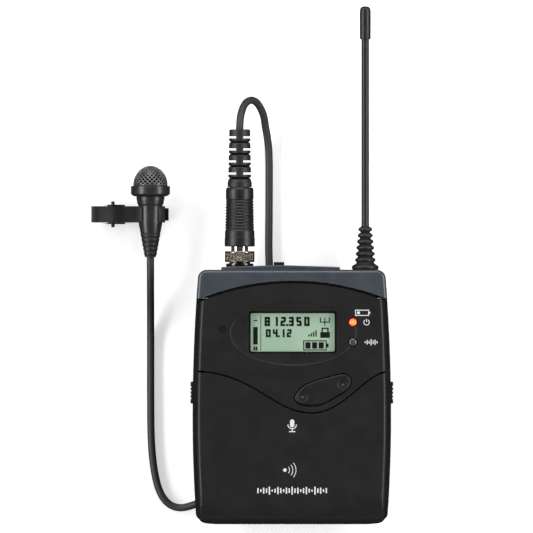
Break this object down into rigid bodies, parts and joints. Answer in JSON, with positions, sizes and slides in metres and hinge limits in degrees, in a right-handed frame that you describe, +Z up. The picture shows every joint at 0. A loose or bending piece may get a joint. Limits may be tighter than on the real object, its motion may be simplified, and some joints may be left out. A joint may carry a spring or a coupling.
{
  "type": "lavalier microphone set",
  "caption": "Clip-on lavalier microphone on a thin cable, plugged with a locking connector into a flat bodypack transmitter with a whip antenna, display and hinged battery door.",
  "frame": {"origin": "on the table, under the middle of the set as it lies, cable left out", "axes": "+Y along the bodypack towards the antenna tip, +Z up off the table, out of the bodypack's front"},
  "size_m": [0.0958, 0.164, 0.033],
  "materials": {
    "black_plastic": "fine satin black moulding",
    "dark_plastic": "matt black moulding",
    "cap_paint": "blue-grey satin paint",
    "rubber": "matt black rubber",
    "foam": "open-cell foam",
    "cable_skin": "matt dark grey cable jacket",
    "nickel": "bright nickel plating",
    "black_metal": "satin black lacquered metal",
    "steel": "plain bright steel",
    "board": "solder-masked laminate",
    "lcd": "pale green liquid-crystal panel",
    "clear_window": "clear moulded window",
    "red_lens": "lit red lens",
    "grey_lens": "unlit milky lens",
    "cell_wrap": "printed sleeve without marks"
  },
  "bodies": {
    "transmitter": {"front_panel": "black_plastic", "rear_housing": "dark_plastic", "display_frame": "dark_plastic", "infrared_window": "dark_plastic", "inner_frame": "dark_plastic", "battery_tray": "dark_plastic", "top_cap": "cap_paint", "plug_sleeve": "rubber", "plug_strain_relief": "rubber", "antenna_boot": "rubber", "antenna_whip": "rubber", "antenna_tip": "rubber", "cable_tie": "rubber", "cable_plug_run": "cable_skin", "cable_coil": "cable_skin", "cable_mic_run": "cable_skin", "plug_pin": "nickel", "jack_socket": "nickel", "clip_front_jaw": "black_metal", "door_hinge_pin": "steel", "case_screw_1": "steel", "case_screw_2": "steel", "case_screw_3": "steel", "case_screw_4": "steel", "rocker_switch_down": "steel", "rocker_switch_up": "steel", "set_switch": "steel", "power_switch": "steel", "mute_switch_body": "steel", "rf_shield": "steel", "contact_bridge": "steel", "contact_plus": "steel", "contact_minus": "steel", "clip_pin": "steel", "clip_spring": "steel", "circuit_board": "board", "lcd_module": "lcd", "display_window": "clear_window", "power_led": "red_lens", "peak_led": "grey_lens", "battery_1": "cell_wrap", "battery_2": "cell_wrap"},
    "battery_door": {"battery_door": "black_plastic"},
    "catch_left": {"catch_left": "black_plastic"},
    "catch_right": {"catch_right": "black_plastic"},
    "rocker": {"rocker_button": "dark_plastic"},
    "set_key": {"set_button": "black_plastic"},
    "power_key": {"power_button": "black_plastic"},
    "mute_slider": {"mute_slider": "dark_plastic"},
    "belt_clip": {"belt_clip": "steel"},
    "plug_nut": {"plug_nut": "nickel"},
    "microphone": {"mic_grille": "black_metal", "mic_ring": "black_metal", "mic_body": "black_metal", "mic_boot": "rubber", "mic_capsule": "steel", "capsule_seat": "dark_plastic", "wind_foam": "foam"},
    "clip_rear_jaw": {"clip_rear_jaw": "black_metal"}
  },
  "joints": [
    {"name": "battery_door_hinge", "type": "hinge", "parent": "transmitter", "child": "battery_door", "pos_m": [0.01585, -0.0801, 0.023], "axis": [1, 0, 0], "range_deg": [0, 90]},
    {"name": "catch_left_press", "type": "slide", "parent": "transmitter", "child": "catch_left", "axis": [1, 0, 0], "range_m": [0, 0.0012], "stiffness_N_per_m": 600},
    {"name": "catch_right_press", "type": "slide", "parent": "transmitter", "child": "catch_right", "axis": [-1, 0, 0], "range_m": [0, 0.0012], "stiffness_N_per_m": 600},
    {"name": "rocker_tilt", "type": "hinge", "parent": "transmitter", "child": "rocker", "pos_m": [0.02555, -0.0398, 0.0311], "axis": [-0.2639, 0.9646, 0], "range_deg": [-4, 4], "stiffness_Nm_per_rad": 0.02},
    {"name": "set_button_press", "type": "slide", "parent": "transmitter", "child": "set_key", "axis": [0, 0, -1], "range_m": [0, 0.0006], "stiffness_N_per_m": 400},
    {"name": "power_button_press", "type": "slide", "parent": "transmitter", "child": "power_key", "axis": [0, 0, -1], "range_m": [0, 0.0006], "stiffness_N_per_m": 400},
    {"name": "mute_slide", "type": "slide", "parent": "transmitter", "child": "mute_slider", "axis": [1, 0, 0], "range_m": [0, 0.003]},
    {"name": "belt_clip_hinge", "type": "hinge", "parent": "transmitter", "child": "belt_clip", "pos_m": [0.01585, -0.02, 0.0049], "axis": [1, 0, 0], "range_deg": [0, 25], "stiffness_Nm_per_rad": 0.06, "springref_deg": -11.46},
    {"name": "plug_nut_turn", "type": "hinge", "parent": "transmitter", "child": "plug_nut", "pos_m": [-0.00065, 0.0026, 0.0202], "axis": [0, 1, 0], "continuous": true},
    {"name": "microphone_turn", "type": "hinge", "parent": "transmitter", "child": "microphone", "pos_m": [-0.02899, 0.0161, 0.0105], "axis": [0, 1, 0], "range_deg": [-90, 90]},
    {"name": "tie_clip_hinge", "type": "hinge", "parent": "transmitter", "child": "clip_rear_jaw", "pos_m": [-0.04095, 0.0161, 0.0048], "axis": [0, 1, 0], "range_deg": [0, 25], "stiffness_Nm_per_rad": 0.02, "springref_deg": -17.19}
  ]
}
